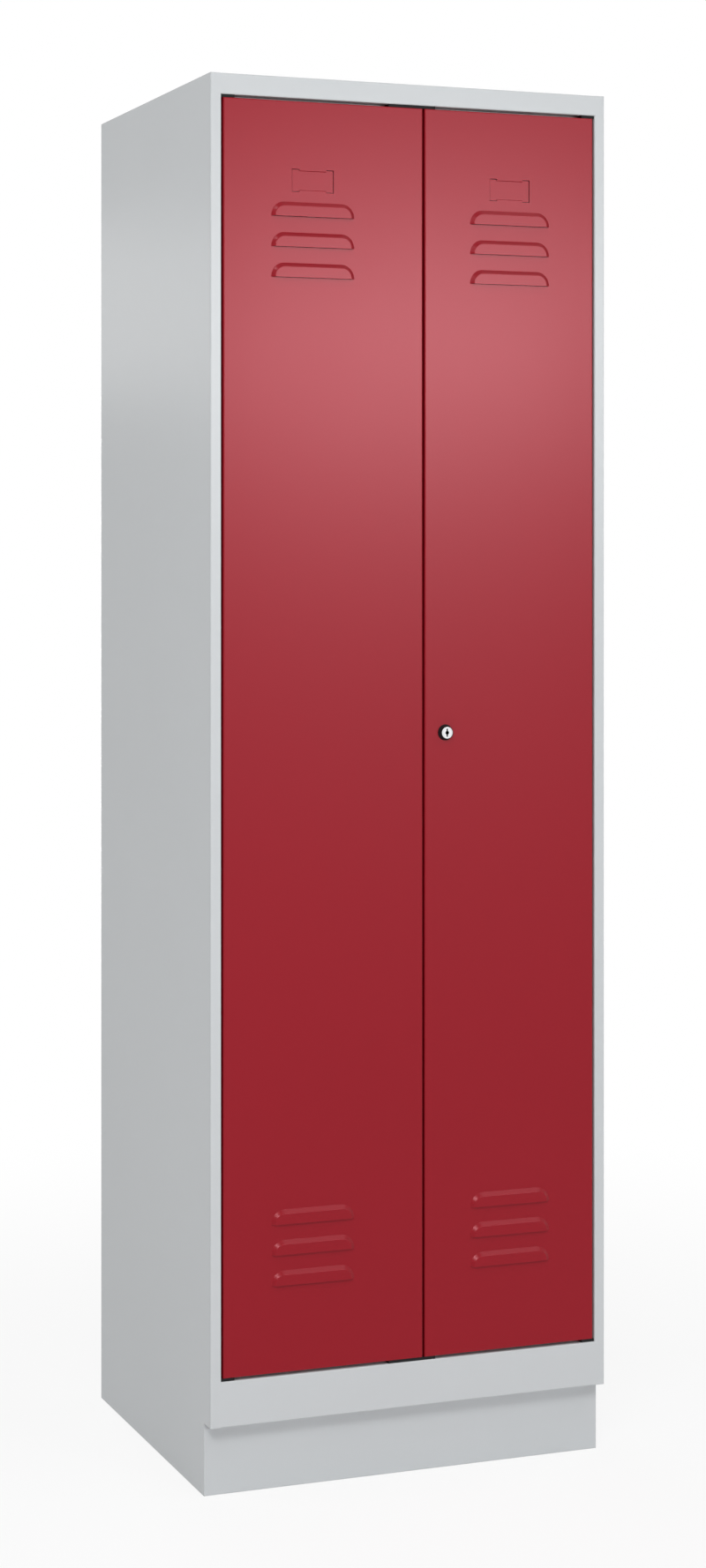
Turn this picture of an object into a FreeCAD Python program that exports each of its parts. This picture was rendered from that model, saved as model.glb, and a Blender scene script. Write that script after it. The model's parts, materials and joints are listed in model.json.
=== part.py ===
import FreeCAD, Part
import math
import os

V = FreeCAD.Vector

# Two-door clothing locker of folded steel sheet, in millimetres.
# X runs to the right seen from the front, Y to the back and Z up.
# The origin is on the floor, under the middle of the carcass.
# "Depth" below is always the distance behind the front face of the carcass.

# Overall size
WIDTH = 600.0
DEPTH = 500.0
HEIGHT = 1950.0
PLINTH_HEIGHT = 100.0
PLINTH_RECESS = 26.0

# Sheet metal
BODY_SHEET = 0.8
DOOR_SHEET = 0.8
INSIDE_BEND = 0.8
SEAM_PLAY = 0.2
REAR_FLANGE = 15.0
FLOOR_FLANGE = 20.0
ROOF_FLANGE = 18.0
PAN_FLANGE = 20.0

# Front frame: posts and rails round the doors, and the lips that the doors close against
POST_FACE = 15.6
POST_DEPTH = 30.0
TOP_RAIL_FACE = 28.8
BOTTOM_RAIL_FACE = 62.5
RAIL_NOTCH = 20.0
STOP_LIP = 16.0
FLOOR_DROP = 13.0

# Doors
DOOR_THICKNESS = 14.0
DOOR_RETURN = 14.8
SIDE_GAP = 3.0
END_GAP = 4.1
MEETING_GAP = 3.2
CLOSED_PLAY = 0.3
STIFFENER_INSET = 5.4
STIFFENER_WIDTH = 62.0
STIFFENER_FOOT = 8.0
STIFFENER_DEPTH = 11.0

# Louvres pressed out of each door, open along their lower edge
LOUVRE_COUNT = 3
LOUVRE_WIDTH = 123.0
LOUVRE_HEIGHT = 19.7
LOUVRE_END = 0.7
LOUVRE_RISE = 4.0
LOUVRE_SLOPE = 5.0
LOUVRE_PITCH = 42.0
UPPER_LOUVRE_DROP = 159.1
LOWER_LOUVRE_LIFT = 120.5

# Label holder on each door: a sunk panel, cut free round its ends so that a card slips in behind the door
LABEL_WIDTH = 62.0
LABEL_HEIGHT = 31.5
LABEL_DROP = 93.5
LABEL_TAB = 11.0
LABEL_CUT = 0.7
LABEL_SINK = 1.0
LABEL_WEB_DROP = 2.0
LABEL_WEB = 0.8

# Door pivots
PIVOT_INSET = 10.0
PIVOT_DEPTH = 7.0
PIVOT_PIN = 6.0
PIN_FIT = 0.05
PIN_HEAD = 10.0
PIN_HEAD_HEIGHT = 2.0
PIN_END = 1.5
PIVOT_PLATE = 3.0
PIVOT_PLATE_REACH = 40.0
PIVOT_PLATE_DEPTH = 15.0

# Buffers and plastic stops
BUFFER_THICKNESS = 2.7
BUFFER_DIAMETER = 11.0
BUFFER_INSET = 15.0
STOP_RELIEF = 1.0

# Lock on the right door
LOCK_INSET = 31.4
COLLAR_FOOT = 22.5
COLLAR_FRONT = 18.0
COLLAR_RISE = 7.0
LOCK_BARREL = 17.0
LOCK_BARREL_REACH = 18.0
LOCK_FIT = 0.1
LOCK_NUT_ACROSS = 24.0
LOCK_NUT_HEIGHT = 4.0
PLUG_FACE = 16.2
PLUG_FACE_HEIGHT = 1.4
PLUG_RING = 14.2
PLUG_RING_WIDTH = 0.4
PLUG_RING_DEPTH = 0.3
PLUG_STEM = 12.8
PLUG_SQUARE = 8.0
KEYWAY_WIDTH = 2.2
KEYWAY_HEIGHT = 11.4
KEYWAY_MIDDLE = 5.4
KEYWAY_DEPTH = 14.0
CAM_THICKNESS = 3.0
CAM_DISC = 48.0
CAM_TONGUE_WIDTH = 16.0
CAM_TONGUE_LENGTH = 58.0
CAM_SCREW = 4.0
CAM_SCREW_HEAD = 10.0
CAM_SCREW_HEAD_HEIGHT = 3.0
CAM_SCREW_GRIP = 8.0
DRIVE_PIN = 6.0
DRIVE_RADIUS = 20.0
DRIVE_SIDE_PLAY = 0.6
DRIVE_LIFT_PLAY = 1.0

# Lock rods behind the right door
ROD_SIDE_WALL = 2.5
ROD_THICKNESS = 3.0
ROD_BEHIND_LIP = 0.8
ROD_TO_CAM = 0.4
ROD_END_WALL = 6.0
ROD_END_CLEAR = 2.0
GUIDE_HEIGHT = 20.0
GUIDE_WALL = 3.0
GUIDE_PLAY = 0.3
GUIDE_FROM_END = 60.0
GUIDE_FROM_LOCK = 130.0

# Keeper on the left door, which the lock's tongue passes through
KEEPER_SHEET = 2.0
KEEPER_FOOT = 12.0
KEEPER_REACH = 18.0
KEEPER_FRAME = 6.0
KEEPER_CLEAR = 1.5
KEEPER_SWING = 1.6
RIVET_SHANK = 3.2
RIVET_HEAD = 6.4
RIVET_HEAD_HEIGHT = 0.8
RIVET_TAIL = 4.8
RIVET_TAIL_HEIGHT = 2.0

# Centre post and partition
CENTRE_POST_DEPTH = 30.0
PARTITION_ENTRY = 10.0
PARTITION_FLANGE = 12.0

# Hat shelves
SHELF_HEIGHT = 1630.0
SHELF_FRONT_GAP = 2.0
SHELF_LIP = 25.0
SHELF_REAR_FLANGE = 15.0
BRACKET_LEG = 20.0
BRACKET_SHEET = 1.5
BRACKET_INSET = 12.0
BRACKET_RIVET_INSET = 40.0

# Clothes rails and sliding hooks
CLOTHES_RAIL_DROP = 70.0
CLOTHES_RAIL_DEPTH = 250.0
CLOTHES_RAIL_TALL = 30.0
CLOTHES_RAIL_WIDE = 15.0
CLOTHES_RAIL_WALL = 1.2
SOCKET_PLATE = 2.0
SOCKET_WALL = 2.0
SOCKET_CUP = 12.0
SOCKET_FLANGE = 7.0
SOCKET_PLAY = 0.2
HOOK_COUNT = 3
HOOK_PITCH = 70.0
HOOK_THICKNESS = 8.0
HOOK_RING_WALL = 3.5
HOOK_RING_PLAY = 0.4
HOOK_STEM = 22.0
HOOK_BAR = 5.0
HOOK_THROAT = 18.0
HOOK_TIP = 10.0

# Worked out from the sizes above
FRONT = -DEPTH / 2
BACK = DEPTH / 2
INNER_HALF = WIDTH / 2 - BODY_SHEET
OPENING_HALF = WIDTH / 2 - POST_FACE
OPENING_TOP = HEIGHT - TOP_RAIL_FACE
OPENING_BOTTOM = PLINTH_HEIGHT + BOTTOM_RAIL_FACE
OPENING_MIDDLE = (OPENING_TOP + OPENING_BOTTOM) / 2
OUTSIDE_BEND = INSIDE_BEND + BODY_SHEET
FASCIA_HALF = OPENING_HALF + OUTSIDE_BEND
FLOOR_TOP = OPENING_BOTTOM - FLOOR_DROP
ROOF_UNDERSIDE = HEIGHT - BODY_SHEET
BACK_INSIDE = DEPTH - 2 * BODY_SHEET

STOP_FACE = DOOR_THICKNESS + CLOSED_PLAY + BUFFER_THICKNESS
STOP_BACK = STOP_FACE + BODY_SHEET
LIP_INNER = POST_FACE + RAIL_NOTCH
LIP_OUTER = OPENING_HALF - RAIL_NOTCH

DOOR_TOP = OPENING_TOP - END_GAP
DOOR_BOTTOM = OPENING_BOTTOM + END_GAP
LEFT_DOOR = (-OPENING_HALF + SIDE_GAP, POST_FACE + SIDE_GAP - MEETING_GAP)
RIGHT_DOOR = (POST_FACE + SIDE_GAP, OPENING_HALF - SIDE_GAP)
COMPARTMENT_MIDDLE = WIDTH / 4
STIFFENER_BACK = DOOR_SHEET + STIFFENER_DEPTH
PIVOT_X = OPENING_HALF - SIDE_GAP - PIVOT_INSET

LOCK_X = RIGHT_DOOR[0] + LOCK_INSET
LOCK_Z = (DOOR_TOP + DOOR_BOTTOM) / 2
ROD_FRONT = STOP_BACK + ROD_BEHIND_LIP
ROD_BACK = ROD_FRONT + ROD_THICKNESS
CAM_FRONT = ROD_BACK + ROD_TO_CAM
CAM_BACK = CAM_FRONT + CAM_THICKNESS
DRIVE_NEAR = DRIVE_RADIUS * math.sin(math.radians(45))
ROD_OFFSET = (DRIVE_RADIUS + DRIVE_NEAR) / 2
ROD_SLOT_HALF = (DRIVE_PIN + DRIVE_RADIUS - DRIVE_NEAR) / 2 + DRIVE_SIDE_PLAY
ROD_HALF = ROD_SLOT_HALF + ROD_SIDE_WALL
UPPER_ROD_TIP = OPENING_TOP - STOP_LIP - ROD_END_CLEAR
KEEPER_X = LEFT_DOOR[1] - DOOR_RETURN + SEAM_PLAY
KEEPER_BACK = DOOR_THICKNESS + KEEPER_REACH

CENTRE_POST_BACK = STOP_FACE + CENTRE_POST_DEPTH
SHELF_FRONT = CENTRE_POST_BACK + SHELF_FRONT_GAP
SHELF_UNDERSIDE = SHELF_HEIGHT - BODY_SHEET
CLOTHES_RAIL_Z = SHELF_HEIGHT - CLOTHES_RAIL_DROP
BAY_OUTER = -INNER_HALF
BAY_INNER = -BODY_SHEET / 2


def deep(start, end):
    """Bounds on Y between two depths."""
    return (FRONT + start, FRONT + end)


def block(x, y, z):
    """Box between low and high bounds on each axis."""
    return Part.makeBox(x[1] - x[0], y[1] - y[0], z[1] - z[0], V(x[0], y[0], z[0]))


def rod_along_y(x, z, radius, start, end):
    """Cylinder along the depth, from one depth to another."""
    return Part.makeCylinder(radius, end - start, V(x, FRONT + start, z), V(0, 1, 0))


def rod_along_z(x, depth, radius, low, high):
    """Upright cylinder."""
    return Part.makeCylinder(radius, high - low, V(x, FRONT + depth, low))


def mirrored_x(shape):
    """The same piece on the other side of the locker."""
    return shape.mirror(V(0, 0, 0), V(1, 0, 0))


def mirrored_z(shape):
    """The same piece at the other end of the door opening."""
    return shape.mirror(V(0, 0, OPENING_MIDDLE), V(0, 0, 1))


def rounded_run(points, radii):
    """Edges through the points, with an arc at each corner between them."""
    edges = []
    start = points[0]
    for before, corner, after, radius in zip(points, points[1:], points[2:], radii):
        toward = (before - corner).normalize()
        away = (after - corner).normalize()
        half_angle = toward.getAngle(away) / 2
        reach = radius / math.tan(half_angle)
        first = corner + toward * reach
        last = corner + away * reach
        middle = corner + (toward + away).normalize() * (radius / math.sin(half_angle) - radius)
        edges.append(Part.LineSegment(start, first).toShape())
        edges.append(Part.Arc(first, middle, last).toShape())
        start = last
    edges.append(Part.LineSegment(start, points[-1]).toShape())
    return edges


def folded_section(path, sheet):
    """Section of a sheet with right-angle folds. Its outside follows the path, with the metal on its left."""
    outside = [V(u, v, 0) for u, v in path]
    steps = [(end - start).normalize() for start, end in zip(outside, outside[1:])]
    lefts = [V(-step.y, step.x, 0) * sheet for step in steps]
    inside = [outside[0] + lefts[0]]
    outside_radii = []
    inside_radii = []
    for index in range(1, len(steps)):
        turn = steps[index - 1].cross(steps[index]).z
        radii = (INSIDE_BEND + sheet, INSIDE_BEND)
        outside_radii.append(radii[0] if turn > 0 else radii[1])
        inside_radii.append(radii[1] if turn > 0 else radii[0])
        inside.append(outside[index] + lefts[index - 1] + lefts[index])
    inside.append(outside[-1] + lefts[-1])
    edges = rounded_run(outside, outside_radii)
    edges.append(Part.LineSegment(outside[-1], inside[-1]).toShape())
    edges += rounded_run(inside[::-1], inside_radii[::-1])
    edges.append(Part.LineSegment(inside[0], outside[0]).toShape())
    return Part.Face(Part.Wire(edges))


def folded_upright(path, sheet, z):
    """Folded sheet whose section lies in X and Y."""
    solid = folded_section(path, sheet).extrude(V(0, 0, z[1] - z[0]))
    solid.translate(V(0, 0, z[0]))
    return solid


def folded_across(path, sheet, x):
    """Folded sheet whose section lies in Y and Z."""
    solid = folded_section(path, sheet).extrude(V(0, 0, x[1] - x[0]))
    solid.Placement = FreeCAD.Placement(V(x[0], 0, 0), FreeCAD.Rotation(V(1, 1, 1), 120))
    return solid


def stadium_along_x(depth, z, wide, tall, x):
    """Bar with an upright oval section, between two bounds on X."""
    radius = wide / 2
    straight = tall / 2 - radius
    y = FRONT + depth
    corners = [V(x[0], y - radius, z - straight), V(x[0], y - radius, z + straight)]
    corners += [V(x[0], y + radius, z + straight), V(x[0], y + radius, z - straight)]
    edges = [
        Part.LineSegment(corners[0], corners[1]).toShape(),
        Part.Arc(corners[1], V(x[0], y, z + tall / 2), corners[2]).toShape(),
        Part.LineSegment(corners[2], corners[3]).toShape(),
        Part.Arc(corners[3], V(x[0], y, z - tall / 2), corners[0]).toShape(),
    ]
    return Part.Face(Part.Wire(edges)).extrude(V(x[1] - x[0], 0, 0))


def left_side_panel():
    """Side wall with its folded front post, rear flange and floor flange."""
    outer = -WIDTH / 2
    path = [
        (outer + REAR_FLANGE, BACK),
        (outer, BACK),
        (outer, FRONT),
        (-OPENING_HALF, FRONT),
        (-OPENING_HALF, FRONT + POST_DEPTH),
        (-INNER_HALF + SEAM_PLAY, FRONT + POST_DEPTH),
    ]
    panel = folded_upright(path, BODY_SHEET, (0, HEIGHT))
    past_post = (-INNER_HALF, -OPENING_HALF + BODY_SHEET)
    behind_face = deep(BODY_SHEET, POST_DEPTH + BODY_SHEET)
    whole_post = (outer - BODY_SHEET, -OPENING_HALF + BODY_SHEET)
    toe_space = deep(-BODY_SHEET, PLINTH_RECESS + BODY_SHEET)
    panel = panel.cut(block(whole_post, toe_space, (0, PLINTH_HEIGHT)))
    panel = panel.cut(block(past_post, behind_face, (0, OPENING_BOTTOM)))
    panel = panel.cut(block(past_post, behind_face, (OPENING_TOP, HEIGHT)))
    for rail in ((PLINTH_HEIGHT, OPENING_BOTTOM), (OPENING_TOP, HEIGHT)):
        fascia_end = (-FASCIA_HALF, -OPENING_HALF + BODY_SHEET)
        panel = panel.cut(block(fascia_end, deep(-BODY_SHEET, 2 * BODY_SHEET), rail))
    under_roof = (BACK - OUTSIDE_BEND - BODY_SHEET, BACK + BODY_SHEET)
    panel = panel.cut(block((-INNER_HALF, outer + 2 * REAR_FLANGE), under_roof, (ROOF_UNDERSIDE, HEIGHT)))
    flange_depth = deep(
        PLINTH_RECESS + FLOOR_FLANGE + SEAM_PLAY,
        DEPTH - BODY_SHEET - FLOOR_FLANGE - SEAM_PLAY,
    )
    return panel.fuse(block((outer, outer + FLOOR_FLANGE), flange_depth, (0, BODY_SHEET))).removeSplitter()


def notch_rail(rail, z):
    """Cut a rail's flange and lip away beside each post."""
    depth = deep(OUTSIDE_BEND, STOP_BACK + BODY_SHEET)
    for x in ((-WIDTH / 2, -LIP_OUTER), (-LIP_INNER, LIP_INNER), (LIP_OUTER, WIDTH / 2)):
        rail = rail.cut(block(x, depth, z))
    return rail


def roof_panel():
    """Roof sheet, folded down at the front into the top rail and its stop lip."""
    path = [
        (BACK, HEIGHT - ROOF_FLANGE),
        (BACK, HEIGHT),
        (FRONT, HEIGHT),
        (FRONT, OPENING_TOP),
        (FRONT + STOP_FACE, OPENING_TOP),
        (FRONT + STOP_FACE, OPENING_TOP - STOP_LIP),
    ]
    roof = folded_across(path, BODY_SHEET, (-FASCIA_HALF, FASCIA_HALF))
    roof = notch_rail(roof, (OPENING_TOP - 2 * STOP_LIP, OPENING_TOP + BODY_SHEET))
    rear_corner = (WIDTH / 2 - REAR_FLANGE - SEAM_PLAY, WIDTH / 2)
    below = (HEIGHT - 2 * ROOF_FLANGE, ROOF_UNDERSIDE)
    flange = block(rear_corner, (BACK - OUTSIDE_BEND, BACK), below)
    wing = block((FASCIA_HALF, INNER_HALF), deep(BODY_SHEET, DEPTH), (ROOF_UNDERSIDE, HEIGHT))
    side_depth = deep(POST_DEPTH + FLOOR_FLANGE, DEPTH - FLOOR_FLANGE)
    side = block((INNER_HALF - BODY_SHEET, INNER_HALF), side_depth, (HEIGHT - ROOF_FLANGE, HEIGHT))
    roof = roof.cut(flange).cut(mirrored_x(flange))
    return roof.fuse([wing, mirrored_x(wing), side, mirrored_x(side)]).removeSplitter()


def bottom_rail():
    """Rail under the doors, with its stop lip and the flange that rests on the plinth."""
    path = [
        (FRONT + STOP_FACE, OPENING_BOTTOM + STOP_LIP),
        (FRONT + STOP_FACE, OPENING_BOTTOM),
        (FRONT, OPENING_BOTTOM),
        (FRONT, PLINTH_HEIGHT),
        (FRONT + PLINTH_RECESS + FLOOR_FLANGE, PLINTH_HEIGHT),
    ]
    rail = folded_across(path, BODY_SHEET, (-FASCIA_HALF, FASCIA_HALF))
    return notch_rail(rail, (OPENING_BOTTOM - BODY_SHEET, OPENING_BOTTOM + 2 * STOP_LIP))


def floor_panel():
    """Floor of the locker, with its edges folded down."""
    rear = FRONT + BACK_INSIDE - SEAM_PLAY
    low = FLOOR_TOP - PAN_FLANGE
    path = [
        (rear, low),
        (rear, FLOOR_TOP),
        (FRONT + BODY_SHEET, FLOOR_TOP),
        (FRONT + BODY_SHEET, low),
    ]
    half = INNER_HALF - SEAM_PLAY
    floor = folded_across(path, BODY_SHEET, (-half, half))
    side_depth = deep(POST_DEPTH, DEPTH - FLOOR_FLANGE)
    side = block((half - BODY_SHEET, half), side_depth, (low, FLOOR_TOP))
    return floor.fuse([side, mirrored_x(side)]).removeSplitter()


def back_panel():
    """Rear sheet, held in front of the side panels' flanges."""
    half = INNER_HALF - OUTSIDE_BEND
    top = ROOF_UNDERSIDE - INSIDE_BEND
    return block((-half, half), deep(BACK_INSIDE, DEPTH - BODY_SHEET), (PLINTH_HEIGHT, top))


def plinth_front():
    """Recessed front of the plinth, flanged at the floor and under the bottom rail."""
    face = FRONT + PLINTH_RECESS
    path = [
        (face + FLOOR_FLANGE, PLINTH_HEIGHT),
        (face, PLINTH_HEIGHT),
        (face, 0),
        (face + FLOOR_FLANGE, 0),
    ]
    plinth = folded_across(path, BODY_SHEET, (-WIDTH / 2, WIDTH / 2))
    past_wall = (INNER_HALF, WIDTH / 2)
    behind = deep(PLINTH_RECESS + BODY_SHEET, PLINTH_RECESS + 2 * FLOOR_FLANGE)
    end = block(past_wall, behind, (0, PLINTH_HEIGHT))
    return plinth.cut(end).cut(mirrored_x(end))


def plinth_rear():
    """Rear of the plinth, in line with the back panel."""
    face = BACK - BODY_SHEET
    path = [
        (face - FLOOR_FLANGE, 0),
        (face, 0),
        (face, PLINTH_HEIGHT),
        (face - FLOOR_FLANGE, PLINTH_HEIGHT),
    ]
    half = INNER_HALF - OUTSIDE_BEND
    return folded_across(path, BODY_SHEET, (-half, half))


def tongue_sweep(distance):
    """How far below the lock's axis the tongue still reaches at a distance to its side."""
    return math.sqrt(CAM_TONGUE_LENGTH ** 2 - distance ** 2) + CAM_TONGUE_WIDTH / 2


def keeper_height():
    """Bounds on Z of the keeper's window."""
    low = LOCK_Z - tongue_sweep(LOCK_X - KEEPER_X - KEEPER_SHEET) - KEEPER_CLEAR
    return (low, LOCK_Z + CAM_TONGUE_WIDTH / 2 + KEEPER_CLEAR)


def keeper_frame_height():
    """Bounds on Z of the keeper's upstanding plate."""
    low, high = keeper_height()
    return (low - KEEPER_FRAME, high + KEEPER_FRAME)


def cam_depths():
    """Depths that the slots for the lock's tongue leave clear."""
    return (CAM_FRONT - KEEPER_CLEAR, CAM_BACK + KEEPER_CLEAR)


def centre_post():
    """Post behind the meeting edge, slotted for the keeper and for the lock's tongue."""
    gap = BODY_SHEET / 2 + SEAM_PLAY
    rear = FRONT + CENTRE_POST_BACK
    path = [
        (-gap, rear),
        (-POST_FACE, rear),
        (-POST_FACE, FRONT + STOP_FACE),
        (POST_FACE, FRONT + STOP_FACE),
        (POST_FACE, rear),
        (gap, rear),
    ]
    post = folded_upright(path, BODY_SHEET, (FLOOR_TOP, ROOF_UNDERSIDE))
    low, high = keeper_frame_height()
    slot_x = (KEEPER_X - KEEPER_CLEAR, KEEPER_X + KEEPER_SHEET + KEEPER_SWING)
    slot_z = (low - KEEPER_CLEAR, high + KEEPER_CLEAR)
    post = post.cut(block(slot_x, deep(STOP_FACE - BODY_SHEET, STOP_BACK + BODY_SHEET), slot_z))
    tongue_low = LOCK_Z - tongue_sweep(LOCK_X - POST_FACE) - KEEPER_CLEAR
    tongue_z = (tongue_low, LOCK_Z + CAM_TONGUE_WIDTH / 2 + KEEPER_CLEAR)
    right_wall = (POST_FACE - 2 * BODY_SHEET, POST_FACE + BODY_SHEET)
    return post.cut(block(right_wall, deep(*cam_depths()), tongue_z))


def centre_partition():
    """Sheet that parts the two compartments."""
    rear = BACK_INSIDE - SEAM_PLAY
    start = CENTRE_POST_BACK - PARTITION_ENTRY
    path = [
        (BAY_INNER + PARTITION_FLANGE, FRONT + rear),
        (BAY_INNER, FRONT + rear),
        (BAY_INNER, FRONT + start),
    ]
    return folded_upright(path, BODY_SHEET, (FLOOR_TOP, ROOF_UNDERSIDE))


def rivet(place, direction, grip):
    """Blind rivet with its head at the start of the grip."""
    head = Part.makeCylinder(RIVET_HEAD / 2, RIVET_HEAD_HEIGHT, place, direction * -1)
    shank = Part.makeCylinder(RIVET_SHANK / 2, grip, place, direction)
    tail = Part.makeCylinder(RIVET_TAIL / 2, RIVET_TAIL_HEIGHT, place + direction * grip, direction)
    return head.fuse([shank, tail]).removeSplitter()


def rivet_hole(place, direction, grip):
    """Hole for a rivet's shank."""
    return Part.makeCylinder(RIVET_SHANK / 2 + PIN_FIT, grip, place, direction)


def left_bracket_bounds():
    """Bounds on X of the two brackets' shelves: on the side wall and on the partition."""
    return ((BAY_OUTER, BAY_OUTER + BRACKET_LEG), (BAY_INNER - BRACKET_LEG, BAY_INNER))


def bracket_depths():
    """Depths at which the shelf brackets start and end."""
    return (SHELF_FRONT + BRACKET_INSET, BACK_INSIDE - BRACKET_INSET - SHELF_REAR_FLANGE)


def left_shelf_rivet_places():
    """Where the left shelf is riveted, on top of the shelf."""
    places = []
    start, end = bracket_depths()
    for x in left_bracket_bounds():
        for depth in (start + BRACKET_RIVET_INSET, end - BRACKET_RIVET_INSET):
            places.append(V((x[0] + x[1]) / 2, FRONT + depth, SHELF_HEIGHT))
    return places


def left_hat_shelf():
    """Shelf with its front and rear edges folded down, lying on two brackets."""
    rear = FRONT + BACK_INSIDE - SEAM_PLAY
    front = FRONT + SHELF_FRONT
    path = [
        (rear, SHELF_HEIGHT - SHELF_REAR_FLANGE),
        (rear, SHELF_HEIGHT),
        (front, SHELF_HEIGHT),
        (front, SHELF_HEIGHT - SHELF_LIP),
    ]
    shelf = folded_across(path, BODY_SHEET, (BAY_OUTER + SEAM_PLAY, BAY_INNER - SEAM_PLAY))
    shelf = shelf.cut(block(
        (BAY_INNER - PARTITION_FLANGE - SEAM_PLAY, BAY_INNER),
        deep(BACK_INSIDE - BODY_SHEET - INSIDE_BEND - SEAM_PLAY, BACK_INSIDE),
        (SHELF_HEIGHT - SHELF_LIP, SHELF_HEIGHT),
    ))
    for place in left_shelf_rivet_places():
        shelf = shelf.cut(rivet_hole(place, V(0, 0, -1), BODY_SHEET))
    return shelf


def left_shelf_brackets():
    """Angles under the left shelf, one on the side wall and one on the partition."""
    depth = deep(*bracket_depths())
    top = SHELF_UNDERSIDE
    outer, inner = left_bracket_bounds()
    legs = ((outer[0], outer[0] + BRACKET_SHEET), (inner[1] - BRACKET_SHEET, inner[1]))
    brackets = []
    for bounds, leg in zip((outer, inner), legs):
        shelf_leg = block(bounds, depth, (top - BRACKET_SHEET, top))
        wall_leg = block(leg, depth, (top - BRACKET_LEG, top))
        bracket = shelf_leg.fuse(wall_leg).removeSplitter()
        for place in left_shelf_rivet_places():
            bracket = bracket.cut(rivet_hole(place, V(0, 0, -1), BODY_SHEET + BRACKET_SHEET))
        brackets.append(bracket)
    return brackets


def left_shelf_rivets():
    """Rivets that hold the left shelf to its brackets."""
    grip = BODY_SHEET + BRACKET_SHEET
    return [rivet(place, V(0, 0, -1), grip) for place in left_shelf_rivet_places()]


def left_clothes_rail():
    """Oval tube across the left compartment."""
    x = (BAY_OUTER + SOCKET_PLATE + SEAM_PLAY, BAY_INNER - SOCKET_PLATE - SEAM_PLAY)
    bore = 2 * CLOTHES_RAIL_WALL
    place = (CLOTHES_RAIL_DEPTH, CLOTHES_RAIL_Z)
    tube = stadium_along_x(*place, CLOTHES_RAIL_WIDE, CLOTHES_RAIL_TALL, x)
    return tube.cut(stadium_along_x(*place, CLOTHES_RAIL_WIDE - bore, CLOTHES_RAIL_TALL - bore, x))


def left_rail_sockets():
    """Cups that carry the ends of the left clothes rail."""
    place = (CLOTHES_RAIL_DEPTH, CLOTHES_RAIL_Z)
    wide = CLOTHES_RAIL_WIDE + 2 * SOCKET_PLAY
    tall = CLOTHES_RAIL_TALL + 2 * SOCKET_PLAY
    sockets = []
    for wall, inward in ((BAY_OUTER, 1), (BAY_INNER, -1)):
        plate_x = sorted((wall, wall + inward * SOCKET_PLATE))
        cup_x = sorted((wall, wall + inward * (SOCKET_PLATE + SOCKET_CUP)))
        bore_x = sorted((wall + inward * SOCKET_PLATE, wall + inward * (SOCKET_PLATE + SOCKET_CUP)))
        rim = 2 * SOCKET_WALL
        flange = rim + 2 * SOCKET_FLANGE
        socket = stadium_along_x(*place, wide + rim, tall + rim, cup_x)
        socket = socket.fuse(stadium_along_x(*place, wide + flange, tall + flange, plate_x))
        socket = socket.cut(stadium_along_x(*place, wide, tall, bore_x))
        sockets.append(socket.removeSplitter())
    return sockets


def left_coat_hook(index):
    """Hook that slides along the left clothes rail. Hook 1 is the outermost."""
    middle = -COMPARTMENT_MIDDLE + (index - (HOOK_COUNT + 1) / 2) * HOOK_PITCH
    x = (middle - HOOK_THICKNESS / 2, middle + HOOK_THICKNESS / 2)
    wide = CLOTHES_RAIL_WIDE + 2 * HOOK_RING_PLAY
    tall = CLOTHES_RAIL_TALL + 2 * HOOK_RING_PLAY
    wall = 2 * HOOK_RING_WALL
    place = (CLOTHES_RAIL_DEPTH, CLOTHES_RAIL_Z)
    ring = stadium_along_x(*place, wide + wall, tall + wall, x)
    stem_top = CLOTHES_RAIL_Z - tall / 2 - HOOK_RING_WALL / 2
    bend_z = CLOTHES_RAIL_Z - tall / 2 - HOOK_RING_WALL - HOOK_STEM
    stem_depth = CLOTHES_RAIL_DEPTH + HOOK_BAR / 2
    bend_depth = stem_depth - HOOK_BAR - HOOK_THROAT / 2
    tip_depth = bend_depth - HOOK_THROAT / 2 - HOOK_BAR
    stem = block(x, deep(stem_depth - HOOK_BAR, stem_depth), (bend_z, stem_top))
    tip = block(x, deep(tip_depth, tip_depth + HOOK_BAR), (bend_z, bend_z + HOOK_TIP))
    centre = V(x[0], FRONT + bend_depth, bend_z)
    bend = Part.makeCylinder(HOOK_THROAT / 2 + HOOK_BAR, HOOK_THICKNESS, centre, V(1, 0, 0))
    bend = bend.cut(Part.makeCylinder(HOOK_THROAT / 2, HOOK_THICKNESS, centre, V(1, 0, 0)))
    upper = block(x, deep(tip_depth, stem_depth), (bend_z, bend_z + HOOK_THROAT))
    end = V(x[0], FRONT + tip_depth + HOOK_BAR / 2, bend_z + HOOK_TIP)
    round_end = Part.makeCylinder(HOOK_BAR / 2, HOOK_THICKNESS, end, V(1, 0, 0))
    hook = ring.fuse([stem, tip, bend.cut(upper), round_end])
    return hook.cut(stadium_along_x(*place, wide, tall, x)).removeSplitter()


def soften_front(solid, radius):
    """Round the edges of a block's front face."""
    front = solid.BoundBox.YMin
    edges = [edge for edge in solid.Edges if abs(edge.BoundBox.YMax - front) < radius / 100]
    return solid.makeFillet(radius, edges)


def door_tray(x):
    """Folded tray of a door, with a return round its open back."""
    z = (DOOR_BOTTOM, DOOR_TOP)
    outside = soften_front(block(x, deep(0, DOOR_THICKNESS), z), INSIDE_BEND + DOOR_SHEET)
    inset = DOOR_SHEET
    hollow = block(
        (x[0] + inset, x[1] - inset),
        deep(DOOR_SHEET, DOOR_THICKNESS - DOOR_SHEET),
        (z[0] + inset, z[1] - inset),
    )
    mouth = block(
        (x[0] + DOOR_RETURN, x[1] - DOOR_RETURN),
        deep(DOOR_THICKNESS - 2 * DOOR_SHEET, DOOR_THICKNESS + DOOR_SHEET),
        (z[0] + DOOR_RETURN, z[1] - DOOR_RETURN),
    )
    return outside.cut(soften_front(hollow, INSIDE_BEND)).cut(mouth)


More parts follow.
